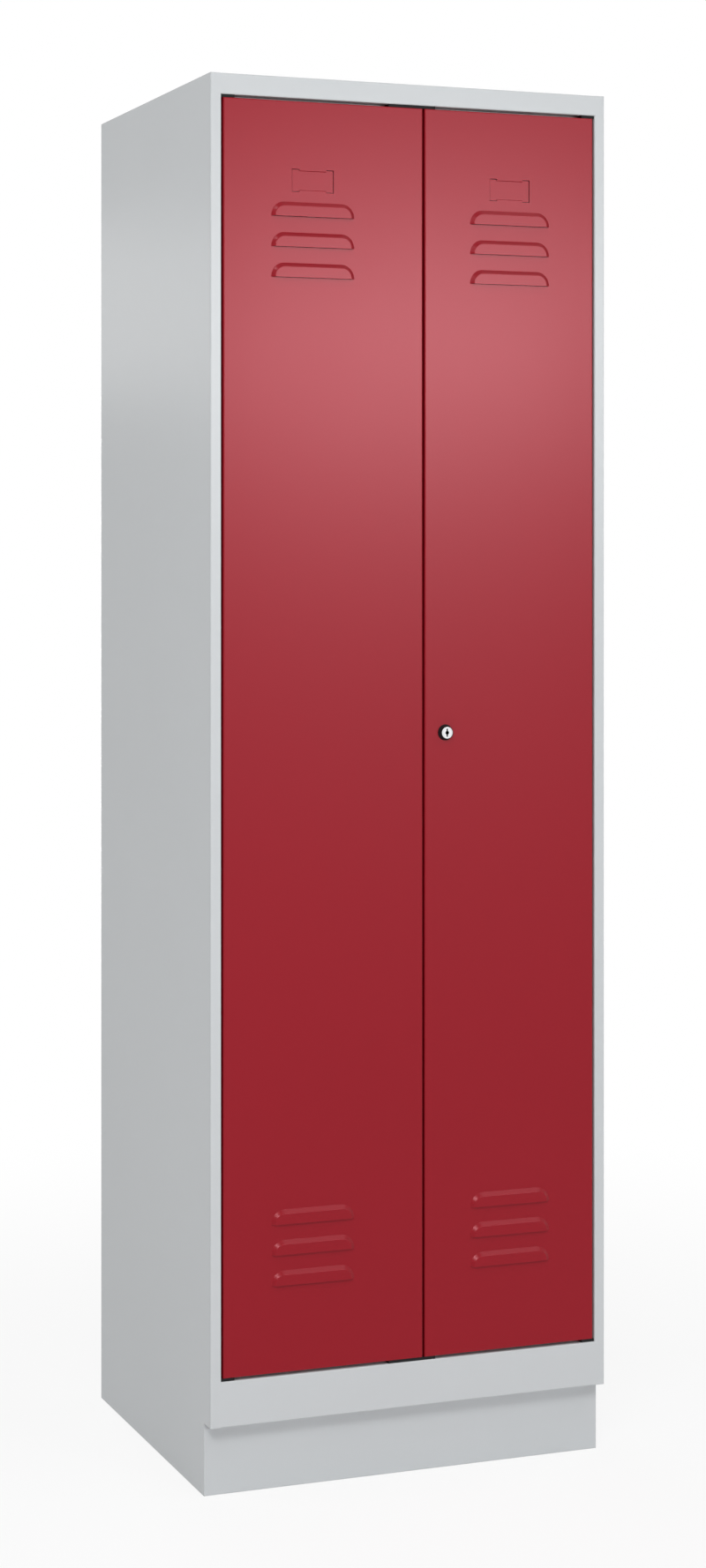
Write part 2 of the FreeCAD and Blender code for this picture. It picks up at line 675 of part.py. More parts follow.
def louvre_wire(x, z, inset, depth, drop=0.0):
    """Outline of a louvre, drawn in by an inset, at one depth. A drop lowers its straight edge."""
    half = LOUVRE_WIDTH / 2 - inset
    top = LOUVRE_HEIGHT - inset
    y = FRONT + depth
    points = [
        V(x - half, y, z - drop),
        V(x - half, y, z + top),
        V(x + half, y, z + top),
        V(x + half, y, z - drop),
    ]
    edges = rounded_run(points, [LOUVRE_HEIGHT - LOUVRE_END - inset] * 2)
    edges.append(Part.LineSegment(points[-1], points[0]).toShape())
    return Part.Wire(edges)


def louvre_wall():
    """Thickness of a louvre's sloped wall, measured along the door."""
    return DOOR_SHEET * math.hypot(LOUVRE_RISE, LOUVRE_SLOPE) / LOUVRE_RISE


def louvre_bends(solid, x, z, depth):
    """Edges of a solid at one depth that go round a louvre, apart from its straight lower edge."""
    near = INSIDE_BEND / 100
    half = LOUVRE_WIDTH / 2 + near
    y = FRONT + depth
    around = FreeCAD.BoundBox(x - half, y - near, z - near, x + half, y + near, z + LOUVRE_HEIGHT + near)
    return [edge for edge in solid.Edges if around.isInside(edge.BoundBox) and edge.BoundBox.ZMax > z + near]


def louvre_hood(x, z):
    """Solid hood of a louvre, from the back of the door sheet outwards, with its rim bent round."""
    half = LOUVRE_WIDTH / 2
    foot = louvre_wire(x, z, 0, 0, DOOR_SHEET)
    face = louvre_wire(x, z, LOUVRE_SLOPE, -LOUVRE_RISE, DOOR_SHEET)
    below = block((x - half, x + half), deep(-LOUVRE_RISE, 0), (z - DOOR_SHEET, z))
    cap = Part.makeLoft([foot, face], True, True).cut(below)
    cap = cap.makeFillet(INSIDE_BEND + DOOR_SHEET, louvre_bends(cap, x, z, -LOUVRE_RISE))
    root = Part.Face(louvre_wire(x, z, 0, 0)).extrude(V(0, DOOR_SHEET, 0))
    return root.fuse(cap)


def louvre_hollow(x, z):
    """Space under a louvre, with the slot along its lower edge."""
    wall = louvre_wall()
    inner_rise = LOUVRE_RISE - DOOR_SHEET
    inner_inset = wall + LOUVRE_SLOPE * inner_rise / LOUVRE_RISE
    foot = louvre_wire(x, z, wall, 0, DOOR_SHEET)
    face = louvre_wire(x, z, inner_inset, -inner_rise, DOOR_SHEET)
    hole = Part.Face(louvre_wire(x, z, wall, 0)).extrude(V(0, DOOR_SHEET, 0))
    return hole.fuse(Part.makeLoft([foot, face], True, True))


def louvre_feet():
    """Heights of the straight lower edges of a door's louvres."""
    upper = [DOOR_TOP - UPPER_LOUVRE_DROP - step * LOUVRE_PITCH for step in range(LOUVRE_COUNT)]
    lower = [DOOR_BOTTOM + LOWER_LOUVRE_LIFT + step * LOUVRE_PITCH for step in range(LOUVRE_COUNT)]
    return upper + lower


def add_louvres(door, x):
    """Press the two groups of louvres out of a door, with a bend round the foot of each."""
    feet = louvre_feet()
    door = door.fuse([louvre_hood(x, z) for z in feet])
    for z in feet:
        door = door.makeFillet(INSIDE_BEND, louvre_bends(door, x, z, 0))
    return door.cut([louvre_hollow(x, z) for z in feet])


def label_web(x, z, fall):
    """Sloped strip between the door and the sunk panel, below or above a bend line."""
    corners = [
        V(x[0], FRONT, z),
        V(x[0], FRONT + DOOR_SHEET, z),
        V(x[0], FRONT + LABEL_SINK + DOOR_SHEET, z + fall),
        V(x[0], FRONT + LABEL_SINK, z + fall),
    ]
    return Part.Face(Part.makePolygon(corners + corners[:1])).extrude(V(x[1] - x[0], 0, 0))


def add_label_holder(door, x):
    """Sink the label panel into a door, with a slot round each end of it."""
    top = DOOR_TOP - LABEL_DROP
    low = top - LABEL_HEIGHT
    half = LABEL_WIDTH / 2
    middle_x = (x - half + LABEL_TAB, x + half - LABEL_TAB)
    bends = (low + LABEL_WEB_DROP, top - LABEL_WEB_DROP)
    through = deep(-DOOR_SHEET, 2 * DOOR_SHEET)
    sunk = deep(LABEL_SINK, LABEL_SINK + DOOR_SHEET)
    windows = [block(middle_x, through, bends)]
    pieces = [
        block(middle_x, sunk, (bends[0] + LABEL_WEB, bends[1] - LABEL_WEB)),
        label_web(middle_x, bends[0], LABEL_WEB),
        label_web(middle_x, bends[1], -LABEL_WEB),
    ]
    for side in (-1, 1):
        inner = x + side * (half - LABEL_TAB)
        window_x = sorted((inner, x + side * half))
        tab_x = sorted((inner, x + side * (half - LABEL_CUT)))
        windows.append(block(window_x, through, (low, top)))
        pieces.append(block(tab_x, sunk, (low + LABEL_CUT, top - LABEL_CUT)))
    return door.cut(windows).fuse(pieces).removeSplitter()


def door_panel(x, middle, pivot_x):
    """A door: tray, louvres, label holder and the holes for its pivot pins."""
    door = add_louvres(door_tray(x), middle)
    door = add_label_holder(door, middle)
    pin_hole = rod_along_z(pivot_x, PIVOT_DEPTH, PIVOT_PIN / 2 + PIN_FIT, DOOR_BOTTOM, DOOR_TOP)
    flange_only = block(x, deep(0, DOOR_THICKNESS), (DOOR_BOTTOM + DOOR_SHEET, DOOR_TOP - DOOR_SHEET))
    return door.cut(pin_hole.cut(flange_only))


def keeper_rivet_places():
    """Where the keeper is riveted to the left door, on the keeper's foot."""
    low, high = keeper_frame_height()
    x = KEEPER_X + KEEPER_SHEET + (KEEPER_FOOT - KEEPER_SHEET) / 2
    margin = RIVET_HEAD
    return [V(x, FRONT + DOOR_THICKNESS + KEEPER_SHEET, z) for z in (low + margin, high - margin)]


def left_door_panel():
    """Left door, which also covers the centre post."""
    door = door_panel(LEFT_DOOR, -COMPARTMENT_MIDDLE, -PIVOT_X)
    grip = KEEPER_SHEET + DOOR_SHEET
    return door.cut([rivet_hole(place, V(0, -1, 0), grip) for place in keeper_rivet_places()])


def right_door_panel():
    """Right door, with the hole for the lock."""
    door = door_panel(RIGHT_DOOR, COMPARTMENT_MIDDLE, PIVOT_X)
    return door.cut(rod_along_y(LOCK_X, LOCK_Z, LOCK_BARREL / 2 + LOCK_FIT, 0, DOOR_SHEET))


def door_stiffener(low_x):
    """Hat channel up the inside of a door, beside its free edge."""
    high_x = low_x + STIFFENER_WIDTH
    front = FRONT + DOOR_SHEET
    back = FRONT + STIFFENER_BACK
    path = [
        (high_x, front + DOOR_SHEET),
        (high_x - STIFFENER_FOOT, front + DOOR_SHEET),
        (high_x - STIFFENER_FOOT, back),
        (low_x + STIFFENER_FOOT, back),
        (low_x + STIFFENER_FOOT, front + DOOR_SHEET),
        (low_x, front + DOOR_SHEET),
    ]
    margin = DOOR_SHEET + INSIDE_BEND + SEAM_PLAY
    return folded_upright(path, DOOR_SHEET, (DOOR_BOTTOM + margin, DOOR_TOP - margin))


def left_door_stiffener():
    """Channel behind the left door's free edge."""
    return door_stiffener(LEFT_DOOR[1] - STIFFENER_INSET - STIFFENER_WIDTH)


def right_door_stiffener():
    """Channel behind the right door's free edge, which the lock passes through."""
    channel = door_stiffener(RIGHT_DOOR[0] + STIFFENER_INSET)
    return channel.cut(rod_along_y(LOCK_X, LOCK_Z, LOCK_BARREL / 2 + LOCK_FIT, 0, DOOR_THICKNESS))


def lower_pivot_bracket():
    """Plate under the left end of the bottom rail, which carries the pivot block."""
    top = OPENING_BOTTOM - BODY_SHEET
    x = (-INNER_HALF, -LIP_OUTER + RAIL_NOTCH)
    plate = block(x, deep(OUTSIDE_BEND, PIVOT_PLATE_DEPTH), (top - PIVOT_PLATE, top))
    hole = rod_along_z(-PIVOT_X, PIVOT_DEPTH, PIVOT_PIN / 2 + CLOSED_PLAY, top - PIVOT_PLATE, top)
    return plate.cut(hole)


def lower_pivot_block():
    """Plastic bearing in the notch of the bottom rail, which the door stands on."""
    x = (-OPENING_HALF + SEAM_PLAY, -LIP_OUTER - SEAM_PLAY)
    z = (OPENING_BOTTOM - BODY_SHEET, DOOR_BOTTOM - CLOSED_PLAY)
    bearing = block(x, deep(OUTSIDE_BEND + SEAM_PLAY, PIVOT_PLATE_DEPTH), z)
    return bearing.cut(rod_along_z(-PIVOT_X, PIVOT_DEPTH, PIVOT_PIN / 2 + PIN_FIT, *z))


def lower_pivot_plate():
    """Plate inside the foot of the left door, which holds the pivot pin."""
    low = DOOR_BOTTOM + DOOR_SHEET
    x = (LEFT_DOOR[0] + DOOR_SHEET, LEFT_DOOR[0] + DOOR_SHEET + PIVOT_PLATE_REACH)
    depth = deep(DOOR_SHEET + INSIDE_BEND, DOOR_THICKNESS - DOOR_SHEET)
    plate = block(x, depth, (low, low + PIVOT_PLATE))
    hole = rod_along_z(-PIVOT_X, PIVOT_DEPTH, PIVOT_PIN / 2 + PIN_FIT, low, low + PIVOT_PLATE)
    return plate.cut(hole)


def lower_pivot_pin():
    """Headed pin from the door's plate down through the bearing and its bracket."""
    seat = DOOR_BOTTOM + DOOR_SHEET + PIVOT_PLATE
    end = OPENING_BOTTOM - BODY_SHEET - PIVOT_PLATE - PIN_END
    pin = rod_along_z(-PIVOT_X, PIVOT_DEPTH, PIVOT_PIN / 2, end, seat)
    head = rod_along_z(-PIVOT_X, PIVOT_DEPTH, PIN_HEAD / 2, seat, seat + PIN_HEAD_HEIGHT)
    return pin.fuse(head).removeSplitter()


def lower_centre_stop():
    """Plastic stop in the centre notch of the bottom rail, clipped against the centre post."""
    half = LIP_INNER - SEAM_PLAY
    base_z = (OPENING_BOTTOM - BODY_SHEET, DOOR_BOTTOM - CLOSED_PLAY)
    base = block((-half, half), deep(OUTSIDE_BEND + SEAM_PLAY, STOP_FACE), base_z)
    bumper_depth = deep(DOOR_THICKNESS + CLOSED_PLAY, STOP_FACE)
    bumper = block((-half, half), bumper_depth, (base_z[0], OPENING_BOTTOM + STOP_LIP - STOP_RELIEF))
    return base.fuse(bumper).removeSplitter()


def lower_door_buffers():
    """Rubber pads on the bottom stop lip, two behind each door."""
    z = OPENING_BOTTOM + (END_GAP + STOP_LIP) / 2
    spots = (LIP_INNER + BUFFER_INSET, LIP_OUTER - BUFFER_INSET)
    start = STOP_FACE - BUFFER_THICKNESS
    pads = [rod_along_y(x, z, BUFFER_DIAMETER / 2, start, STOP_FACE) for x in spots]
    return pads + [mirrored_x(pad) for pad in pads]


def ring_along_y(outer, inner, start, end):
    """Plain ring round the lock's axis."""
    return rod_along_y(LOCK_X, LOCK_Z, outer, start, end).cut(
        rod_along_y(LOCK_X, LOCK_Z, inner, start, end)
    )


def lock_collar():
    """Tapered plastic collar in front of the door."""
    place = V(LOCK_X, FRONT, LOCK_Z)
    cone = Part.makeCone(COLLAR_FOOT / 2, COLLAR_FRONT / 2, COLLAR_RISE, place, V(0, -1, 0))
    seat = COLLAR_RISE - PLUG_FACE_HEIGHT - LOCK_FIT
    plug_bore = rod_along_y(LOCK_X, LOCK_Z, PLUG_FACE / 2 + LOCK_FIT, -COLLAR_RISE, 0)
    barrel_bore = rod_along_y(LOCK_X, LOCK_Z, LOCK_BARREL / 2 + LOCK_FIT, -seat, 0)
    return cone.cut(plug_bore).cut(barrel_bore)


def lock_barrel():
    """Fixed barrel of the lock, through the door and its stiffener."""
    front = -(COLLAR_RISE - PLUG_FACE_HEIGHT - 2 * LOCK_FIT)
    return ring_along_y(LOCK_BARREL / 2, PLUG_STEM / 2 + PIN_FIT, front, LOCK_BARREL_REACH)


def lock_nut():
    """Hexagon nut that clamps the barrel to the door sheet."""
    corner = LOCK_NUT_ACROSS / math.sqrt(3)
    turns = [math.radians(60 * step) for step in range(7)]
    middle = V(LOCK_X, FRONT + DOOR_SHEET, LOCK_Z)
    points = [middle + V(math.cos(turn), 0, math.sin(turn)) * corner for turn in turns]
    nut = Part.Face(Part.makePolygon(points)).extrude(V(0, LOCK_NUT_HEIGHT, 0))
    return nut.cut(rod_along_y(LOCK_X, LOCK_Z, LOCK_BARREL / 2, DOOR_SHEET, DOOR_SHEET + LOCK_NUT_HEIGHT))


def square_along_y(size, start, end):
    """Square bar on the lock's axis."""
    half = size / 2
    return block((LOCK_X - half, LOCK_X + half), deep(start, end), (LOCK_Z - half, LOCK_Z + half))


def lock_plug():
    """Turning plug with its keyway, its bright face and the square that drives the cam."""
    front = -COLLAR_RISE
    face_back = front + PLUG_FACE_HEIGHT
    plug = rod_along_y(LOCK_X, LOCK_Z, PLUG_FACE / 2, front, face_back)
    plug = plug.fuse(rod_along_y(LOCK_X, LOCK_Z, PLUG_STEM / 2, face_back, CAM_FRONT))
    plug = plug.fuse(square_along_y(PLUG_SQUARE, CAM_FRONT, CAM_BACK - LOCK_FIT))
    half_width = KEYWAY_WIDTH / 2
    half_height = KEYWAY_HEIGHT / 2
    key_end = front + KEYWAY_DEPTH
    slot = block(
        (LOCK_X - half_width, LOCK_X + half_width),
        deep(front, key_end),
        (LOCK_Z - half_height, LOCK_Z + half_height),
    )
    middle = rod_along_y(LOCK_X, LOCK_Z, KEYWAY_MIDDLE / 2, front, key_end)
    ring = ring_along_y(PLUG_RING / 2, PLUG_RING / 2 - PLUG_RING_WIDTH, front, front + PLUG_RING_DEPTH)
    screw_hole = rod_along_y(LOCK_X, LOCK_Z, CAM_SCREW / 2, CAM_BACK - CAM_SCREW_GRIP, CAM_BACK)
    return plug.cut([slot, middle, ring, screw_hole]).removeSplitter()


def drive_pin_places():
    """Where the cam's two drive pins stand when the lock is open: left below and right above the axis."""
    return ((LOCK_X - DRIVE_NEAR, LOCK_Z - DRIVE_NEAR), (LOCK_X + DRIVE_NEAR, LOCK_Z + DRIVE_NEAR))


def lock_cam():
    """Cam with its two drive pins. Its tongue hangs down when the lock is open."""
    half = CAM_TONGUE_WIDTH / 2
    disc = rod_along_y(LOCK_X, LOCK_Z, CAM_DISC / 2, CAM_FRONT, CAM_BACK)
    end_z = LOCK_Z - CAM_TONGUE_LENGTH + half
    tongue = block((LOCK_X - half, LOCK_X + half), deep(CAM_FRONT, CAM_BACK), (end_z, LOCK_Z))
    tip = rod_along_y(LOCK_X, end_z, half, CAM_FRONT, CAM_BACK)
    start = ROD_FRONT - ROD_TO_CAM
    pins = [rod_along_y(x, z, DRIVE_PIN / 2, start, CAM_FRONT) for x, z in drive_pin_places()]
    cam = disc.fuse([tongue, tip] + pins).removeSplitter()
    return cam.cut(square_along_y(PLUG_SQUARE, CAM_FRONT, CAM_BACK))


def cam_screw():
    """Screw that holds the cam on the plug."""
    head = rod_along_y(LOCK_X, LOCK_Z, CAM_SCREW_HEAD / 2, CAM_BACK, CAM_BACK + CAM_SCREW_HEAD_HEIGHT)
    shank = rod_along_y(LOCK_X, LOCK_Z, CAM_SCREW / 2, CAM_BACK - CAM_SCREW_GRIP, CAM_BACK)
    return head.fuse(shank).removeSplitter()


def upper_lock_rod():
    """Flat rod from the cam's left pin up to the top rail."""
    pin_z = drive_pin_places()[0][1]
    middle = LOCK_X - ROD_OFFSET
    half_lift = DRIVE_PIN / 2 + DRIVE_LIFT_PLAY
    depth = deep(ROD_FRONT, ROD_BACK)
    low = pin_z - half_lift - ROD_END_WALL
    rod = block((middle - ROD_HALF, middle + ROD_HALF), depth, (low, UPPER_ROD_TIP))
    slot_x = (middle - ROD_SLOT_HALF, middle + ROD_SLOT_HALF)
    return rod.cut(block(slot_x, depth, (pin_z - half_lift, pin_z + half_lift)))


def turned_half(shape):
    """The same piece, half a turn round the lock's axis."""
    copy = shape.copy()
    copy.rotate(V(LOCK_X, FRONT, LOCK_Z), V(0, 1, 0), 180)
    return copy


def rod_guides():
    """Guides on the right door's stiffener, stepped to clear its return: two for each rod."""
    middle = LOCK_X - ROD_OFFSET
    half = ROD_HALF + GUIDE_PLAY
    return_edge = RIGHT_DOOR[0] + DOOR_RETURN + GUIDE_PLAY
    guides = []
    for low in (LOCK_Z + GUIDE_FROM_LOCK, DOOR_TOP - GUIDE_FROM_END - GUIDE_HEIGHT):
        z = (low, low + GUIDE_HEIGHT)
        x = (middle - half - GUIDE_WALL, middle + half + GUIDE_WALL)
        body = block(x, deep(STIFFENER_BACK, ROD_BACK + GUIDE_PLAY + GUIDE_WALL), z)
        way = deep(ROD_FRONT - GUIDE_PLAY, ROD_BACK + GUIDE_PLAY)
        step = block((RIGHT_DOOR[0], return_edge), deep(0, DOOR_THICKNESS + GUIDE_PLAY), z)
        guides.append(body.cut([block((middle - half, middle + half), way, z), step]))
    return guides + [turned_half(guide) for guide in guides]


def left_door_keeper():
    """Angle on the left door, with a window that the lock's tongue passes through."""
    window_z = keeper_height()
    frame_z = keeper_frame_height()
    foot_x = (KEEPER_X, KEEPER_X + KEEPER_FOOT)
    plate_x = (KEEPER_X, KEEPER_X + KEEPER_SHEET)
    foot = block(foot_x, deep(DOOR_THICKNESS, DOOR_THICKNESS + KEEPER_SHEET), frame_z)
    plate = block(plate_x, deep(DOOR_THICKNESS, KEEPER_BACK), frame_z)
    keeper = foot.fuse(plate).removeSplitter()
    keeper = keeper.cut(block(plate_x, deep(*cam_depths()), window_z))
    return keeper.cut([rivet_hole(place, V(0, -1, 0), KEEPER_SHEET) for place in keeper_rivet_places()])


def keeper_rivets():
    """Rivets that hold the keeper to the left door."""
    grip = KEEPER_SHEET + DOOR_SHEET
    return [rivet(place, V(0, -1, 0), grip) for place in keeper_rivet_places()]


def group(solids):
    """Separate solids that share one node."""
    return Part.makeCompound(solids)


def both_sides(solids):
    """Solids on the left and their mirror images on the right."""
    return solids + [mirrored_x(solid) for solid in solids]


def both_ends(solid):
    """A solid at the foot of the doors and its mirror image at their head."""
    return [solid, mirrored_z(solid)]


def carcass_nodes():
    """Sheets of the carcass."""
    left_panel = left_side_panel()
    return {
        "left_side_panel": left_panel,
        "right_side_panel": mirrored_x(left_panel),
        "roof_panel": roof_panel(),
        "bottom_rail": bottom_rail(),
        "floor_panel": floor_panel(),
        "back_panel": back_panel(),
        "plinth_front": plinth_front(),
        "plinth_rear": plinth_rear(),
        "centre_post": centre_post(),
        "centre_partition": centre_partition(),
    }


def inside_nodes():
    """Shelves, clothes rails and hooks."""
    nodes = {
        "left_hat_shelf": left_hat_shelf(),
        "right_hat_shelf": mirrored_x(left_hat_shelf()),
        "shelf_brackets": group(both_sides(left_shelf_brackets())),
        "shelf_rivets": group(both_sides(left_shelf_rivets())),
        "left_clothes_rail": left_clothes_rail(),
        "right_clothes_rail": mirrored_x(left_clothes_rail()),
        "rail_sockets": group(both_sides(left_rail_sockets())),
    }
    for index in range(1, HOOK_COUNT + 1):
        hook = left_coat_hook(index)
        nodes[f"left_coat_hook_{index}"] = hook
        nodes[f"right_coat_hook_{index}"] = mirrored_x(hook)
    return nodes


def hinge_nodes():
    """Pivots of both doors, and what the doors close against."""
    nodes = {
        "pivot_brackets": group(both_sides(both_ends(lower_pivot_bracket()))),
        "left_door_pivot_plates": group(both_ends(lower_pivot_plate())),
        "right_door_pivot_plates": group([mirrored_x(plate) for plate in both_ends(lower_pivot_plate())]),
        "lower_centre_stop": lower_centre_stop(),
        "upper_centre_stop": mirrored_z(lower_centre_stop()),
    }
    pads = lower_door_buffers()
    nodes["door_buffers"] = group(pads + [mirrored_z(pad) for pad in pads])
    for piece, solid in (("block", lower_pivot_block()), ("pin", lower_pivot_pin())):
        for end, shape in zip(("lower", "upper"), both_ends(solid)):
            nodes[f"left_{end}_pivot_{piece}"] = shape
            nodes[f"right_{end}_pivot_{piece}"] = mirrored_x(shape)
    return nodes


def door_nodes():
    """Both doors, the lock with its rods, and the keeper."""
    upper_rod = upper_lock_rod()
    return {
        "left_door_panel": left_door_panel(),
        "right_door_panel": right_door_panel(),
        "left_door_stiffener": left_door_stiffener(),
        "right_door_stiffener": right_door_stiffener(),
        "lock_collar": lock_collar(),
        "lock_barrel": lock_barrel(),
        "lock_nut": lock_nut(),
        "lock_plug": lock_plug(),
        "lock_cam": lock_cam(),
        "cam_screw": cam_screw(),
        "upper_lock_rod": upper_rod,
        "lower_lock_rod": turned_half(upper_rod),
        "rod_guides": group(rod_guides()),
        "left_door_keeper": left_door_keeper(),
        "keeper_rivets": group(keeper_rivets()),
    }


def main():
    os.makedirs("parts", exist_ok=True)
    nodes = {**carcass_nodes(), **inside_nodes(), **hinge_nodes(), **door_nodes()}
    for name, shape in nodes.items():
        shape.exportStep(f"parts/{name}.step")
        print(name, "solids", len(shape.Solids), "valid", shape.isValid(), "volume", round(shape.Volume, 1))


main()
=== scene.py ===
import json
import math

import bpy
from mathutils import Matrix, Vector


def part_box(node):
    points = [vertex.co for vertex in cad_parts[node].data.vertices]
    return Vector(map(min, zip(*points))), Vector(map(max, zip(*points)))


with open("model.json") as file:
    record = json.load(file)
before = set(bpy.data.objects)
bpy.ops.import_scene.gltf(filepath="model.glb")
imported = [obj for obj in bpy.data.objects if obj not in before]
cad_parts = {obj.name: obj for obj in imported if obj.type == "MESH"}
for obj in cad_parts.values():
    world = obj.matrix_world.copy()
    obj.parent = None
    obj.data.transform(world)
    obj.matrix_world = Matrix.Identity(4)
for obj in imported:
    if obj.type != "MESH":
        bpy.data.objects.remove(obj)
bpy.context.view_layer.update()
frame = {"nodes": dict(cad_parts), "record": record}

scene = bpy.context.scene

# Places in the frame, in metres
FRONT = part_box("left_side_panel")[0][1]
plug_low, plug_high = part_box("lock_plug")
PLUG_FACE = ((plug_low[0] + plug_high[0]) / 2, plug_low[1], (plug_low[2] + plug_high[2]) / 2)

# Colours, in linear light
CARCASS_GREY = (0.572, 0.594, 0.609)
RUBY_RED = (0.272, 0.0055, 0.0130)
PLASTIC_BLACK = (0.011, 0.011, 0.012)
RUBBER_BLACK = (0.02, 0.02, 0.02)
CHROME = (0.76, 0.76, 0.77)
ZINC = (0.55, 0.56, 0.58)
NICKEL = (0.46, 0.46, 0.47)
FLOOR_WHITE = (0.82, 0.82, 0.82)

# Reflections of the two paints
SATIN = 0.26
NEUTRAL_TINT = (1.0, 1.0, 1.0)
RED_TINT = (1.0, 0.5, 0.55)

# Strength of the light from all round
AMBIENT = 0.28

# Floor and camera, in metres and radians
FLOOR_HALF = 14.0
FLOOR_DROP = 0.0005
CAMERA_PLACE = (-1.56875, -3.81585, 1.30022)
CAMERA_TURN = -0.3494


# Shader nodes

def empty_tree(owner):
    """The cleared node tree of a material or world."""
    owner.use_nodes = True
    owner.node_tree.nodes.clear()
    return owner.node_tree


def new_material(name):
    """An empty node material with a Principled shader wired to its output."""
    material = bpy.data.materials.new(name)
    tree = empty_tree(material)
    output = tree.nodes.new("ShaderNodeOutputMaterial")
    shader = tree.nodes.new("ShaderNodeBsdfPrincipled")
    tree.links.new(shader.outputs["BSDF"], output.inputs["Surface"])
    return material, tree, shader


def dress(tree, shader, tone, roughness, normal):
    """Give a shader its colour, roughness and relief."""
    for name, socket in (("Base Color", tone), ("Roughness", roughness), ("Normal", normal)):
        tree.links.new(socket, shader.inputs[name])


def object_coordinates(tree):
    """Position on the piece in metres."""
    return tree.nodes.new("ShaderNodeTexCoord").outputs["Object"]


def value_math(tree, operation, first, second):
    """One operation on two values."""
    node = tree.nodes.new("ShaderNodeMath")
    node.operation = operation
    tree.links.new(first, node.inputs[0])
    tree.links.new(second, node.inputs[1])
    return node.outputs["Value"]


def vector_math(tree, operation, vector, constant):
    """One operation on a vector and a constant one."""
    node = tree.nodes.new("ShaderNodeVectorMath")
    node.operation = operation
    tree.links.new(vector, node.inputs[0])
    node.inputs[1].default_value = constant
    return node.outputs["Vector"]


def length(tree, vector):
    """The length of a vector."""
    node = tree.nodes.new("ShaderNodeVectorMath")
    node.operation = "LENGTH"
    tree.links.new(vector, node.inputs[0])
    return node.outputs["Value"]


def noise(tree, vector, per_metre, detail, roughness=0.5):
    """Value noise in space, with a given number of features to the metre."""
    node = tree.nodes.new("ShaderNodeTexNoise")
    node.inputs["Scale"].default_value = per_metre
    node.inputs["Detail"].default_value = detail
    node.inputs["Roughness"].default_value = roughness
    tree.links.new(vector, node.inputs["Vector"])
    return node.outputs["Fac"]


def line_noise(tree, value, per_metre):
    """Value noise along one length."""
    node = tree.nodes.new("ShaderNodeTexNoise")
    node.noise_dimensions = "1D"
    node.inputs["Scale"].default_value = per_metre
    tree.links.new(value, node.inputs["W"])
    return node.outputs["Fac"]


def ramp(tree, value, low, high, start=0.0, end=1.0, interpolation="LINEAR"):
    """A value that goes from low to high as another goes from start to end."""
    node = tree.nodes.new("ShaderNodeMapRange")
    node.interpolation_type = interpolation
    node.inputs["From Min"].default_value = start
    node.inputs["From Max"].default_value = end
    node.inputs["To Min"].default_value = low
    node.inputs["To Max"].default_value = high
    tree.links.new(value, node.inputs["Value"])
    return node.outputs["Result"]


def shade(colour, factor):
    """A colour made lighter or darker."""
    return tuple(channel * factor for channel in colour)


def colour_mix(tree, factor, first, second):
    """A colour between two, by a factor. Either may be a socket or a tuple."""
    node = tree.nodes.new("ShaderNodeMix")
    node.data_type = "RGBA"
    tree.links.new(factor, node.inputs["Factor"])
    for socket, colour in ((node.inputs["A"], first), (node.inputs["B"], second)):
        if isinstance(colour, tuple):
            socket.default_value = (*colour, 1.0)
        else:
            tree.links.new(colour, socket)
    return node.outputs["Result"]


def clouded(tree, factor, colour, darkest, lightest):
    """A colour that drifts between a darker and a lighter shade of itself."""
    return colour_mix(tree, factor, shade(colour, darkest), shade(colour, lightest))


def bump(tree, height, distance, strength, normal=None):
    """Surface relief from a height, over another relief if one is given."""
    node = tree.nodes.new("ShaderNodeBump")
    node.inputs["Distance"].default_value = distance
    node.inputs["Strength"].default_value = strength
    tree.links.new(height, node.inputs["Height"])
    if normal is not None:
        tree.links.new(normal, node.inputs["Normal"])
    return node.outputs["Normal"]


# Finishes

def powder_coat(name, colour, gloss, tint, roughness):
    """Satin powder coat: fine orange peel, slight clouding and a faint speckle."""
    material, tree, shader = new_material(name)
    place = object_coordinates(tree)
    clouds = noise(tree, place, per_metre=2.6, detail=2.0)
    speckle = noise(tree, place, per_metre=900.0, detail=2.0)
    peel = noise(tree, place, per_metre=330.0, detail=2.0, roughness=0.4)
    waves = noise(tree, place, per_metre=60.0, detail=1.0)
    tone = clouded(tree, clouds, colour, darkest=0.975, lightest=1.025)
    tone = colour_mix(tree, ramp(tree, speckle, low=0.0, high=0.10), tone, shade(colour, factor=0.82))
    sheen = ramp(tree, clouds, low=roughness - 0.015, high=roughness + 0.015)
    relief = bump(tree, waves, distance=0.00012, strength=0.10)
    relief = bump(tree, peel, distance=0.00006, strength=0.16, normal=relief)
    dress(tree, shader, tone, sheen, relief)
    shader.inputs["Specular IOR Level"].default_value = gloss
    shader.inputs["Specular Tint"].default_value = (*tint, 1.0)
    return material


def moulded_plastic(name, colour, gloss, roughness, grain):
    """Moulded plastic or rubber with a fine spark-eroded grain."""
    material, tree, shader = new_material(name)
    place = object_coordinates(tree)
    fine = noise(tree, place, per_metre=1400.0, detail=4.0, roughness=0.6)
    soft = noise(tree, place, per_metre=45.0, detail=2.0)
    tone = clouded(tree, soft, colour, darkest=0.85, lightest=1.25)
    sheen = ramp(tree, fine, low=roughness - 0.07, high=roughness + 0.07)
    relief = bump(tree, fine, distance=0.00008, strength=grain)
    dress(tree, shader, tone, sheen, relief)
    shader.inputs["Specular IOR Level"].default_value = gloss
    return material


